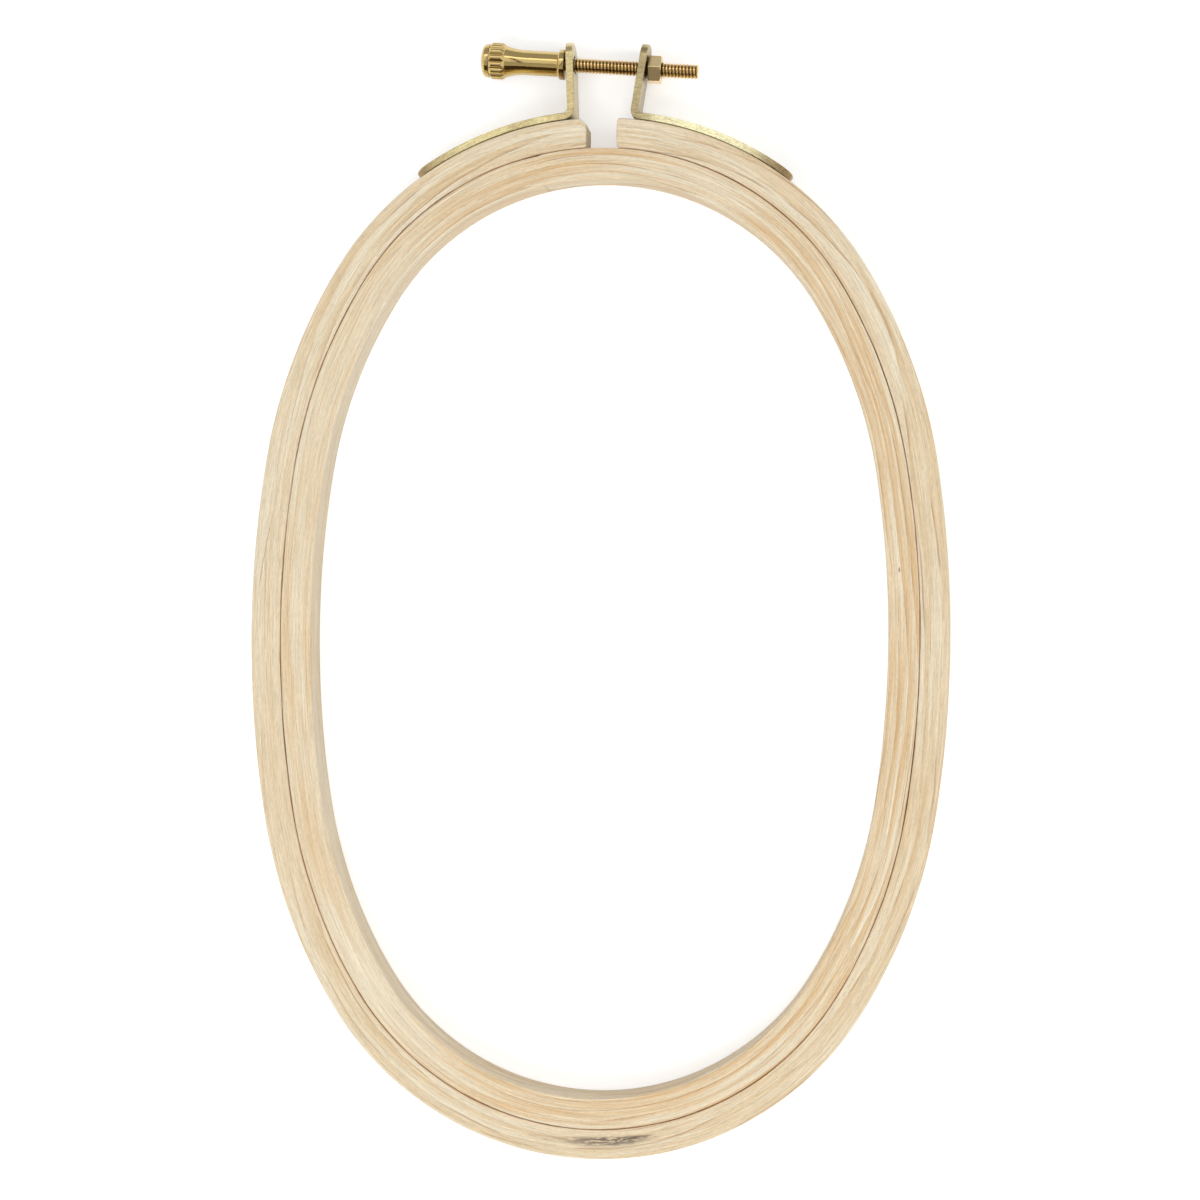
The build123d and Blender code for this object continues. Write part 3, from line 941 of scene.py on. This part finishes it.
for node, material in (
    ("left_bracket", left_brass),
    ("right_bracket", right_brass),
    ("left_bracket_nails", nail_brass),
    ("right_bracket_nails", nail_brass),
):
    carried = frame["nodes"][node]
    if not carried.material_slots:
        carried.data.materials.append(material)
    for held in carried.material_slots:
        held.material = material

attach(inner_ring, "inner")
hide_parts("inner_ring")
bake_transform(outer_ring)
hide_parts("outer_ring_left", "outer_ring_right")
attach(knob, "screw")
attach(shank, "screw")
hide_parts("tension_screw")
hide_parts("tension_screw")
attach(nut, "nut")
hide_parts("hex_nut")

# Floor, light and camera, in metres
FLOOR_SIZE, FLOOR_LEVEL, FLOOR_GREY, FLOOR_GLOW = 8.0, -0.00003, 0.86, 0.47
WORLD_LIGHT = 0.6
LAMP_AIM, CARD_AIM = (0.0, 0.0, 0.0), (0.0, 0.1, 0.0)
WHITE = (1.0, 1.0, 1.0, 1.0)


def sheet(name, size, material):
    """A flat rectangle of the set."""
    w, h = size[0] / 2, size[1] / 2
    mesh = bpy.data.meshes.new(name)
    mesh.from_pydata([(-w, -h, 0), (w, -h, 0), (w, h, 0), (-w, h, 0)], [], [(0, 1, 2, 3)])
    mesh.materials.append(material)
    return add_object(name, mesh)


def aim(holder, place, target):
    holder.location = place
    direction = Vector(target) - Vector(place)
    holder.rotation_euler = direction.to_track_quat("-Z", "Y").to_euler()


def plain_floor():
    """A pale floor that is white where it is seen and keeps the object's shadow."""
    g = material_graph("pale_floor")
    matt = g.put("ShaderNodeBsdfDiffuse", {"Color": (FLOOR_GREY, FLOOR_GREY, FLOOR_GREY, 1.0)})
    strength = g.times(g.seen_directly(), FLOOR_GLOW)
    glow = g.put("ShaderNodeEmission", {"Color": WHITE, "Strength": strength})
    both = g.put("ShaderNodeAddShader", {0: matt.outputs[0], 1: glow.outputs[0]})
    floor = sheet("floor", (FLOOR_SIZE, FLOOR_SIZE), g.show(both))
    floor.location.z = FLOOR_LEVEL


def studio_world():
    """White where it is seen, and a weaker white as light."""
    g = Graph(bpy.data.worlds.new("studio"), "ShaderNodeOutputWorld")
    strength = g.range(g.seen_directly(), 0.0, 1.0, WORLD_LIGHT, 1.0)
    g.show(g.put("ShaderNodeBackground", {"Color": WHITE, "Strength": strength}))
    bpy.context.scene.world = g.owner


def lamp(name, place, size, power):
    """A soft lamp that metal doesn't show."""
    data = bpy.data.lights.new(name, "AREA")
    data.shape = "RECTANGLE"
    data.size, data.size_y = size
    data.energy = power
    holder = add_object(name, data)
    holder.visible_glossy = False
    aim(holder, place, LAMP_AIM)


def card(name, place, size, shade):
    """A card beside the set that glows with its shade and lights no matt surface. Only reflections
    in metal show it.
    """
    g = material_graph(name)
    material = g.show(g.put("ShaderNodeEmission", {"Color": (*shade, 1.0), "Strength": 1.0}))
    held = sheet(name, size, material)
    aim(held, place, CARD_AIM)
    held.visible_camera = False
    held.visible_diffuse = False
    held.visible_shadow = False
    held.visible_transmission = False


plain_floor()
studio_world()
lamp("key", (-0.25, -0.65, 0.85), (0.7, 0.5), 4.1)
lamp("fill", (0.75, 0.05, 0.6), (0.5, 0.6), 1.5)
# The bright card stands in for a lamp and the dark ones for flags; they light no matt surface.
card("flag_above", (0.02, 0.088, 0.8), (1.4, 0.1), (0.1, 0.05, 0.02))
card("card_bright", (0.0, 0.46, 0.72), (1.4, 0.17), (2.1, 2.05, 1.9))
card("flag_middle", (0.0, -0.25, 0.74), (1.4, 0.42), (0.52, 0.52, 0.46))
card("flag_front", (0.0, -0.8, 0.42), (1.8, 0.8), (0.07, 0.045, 0.02))
card("flag_back", (0.0, 0.86, 0.46), (2.0, 1.0), (0.48, 0.48, 0.47))

camera_data = bpy.data.cameras.new("camera")
camera_data.sensor_width = 36.0
camera_data.lens = 66.03
camera_data.shift_x = -0.09
camera_data.shift_y = 0.0023
camera = add_object("camera", camera_data)
camera.location = (0.055, 0.008, 0.450)
camera.rotation_euler = [math.radians(a) for a in (-0.047, 4.206, 0.417)]
bpy.context.scene.camera = camera
bpy.context.scene.view_settings.view_transform = "Standard"
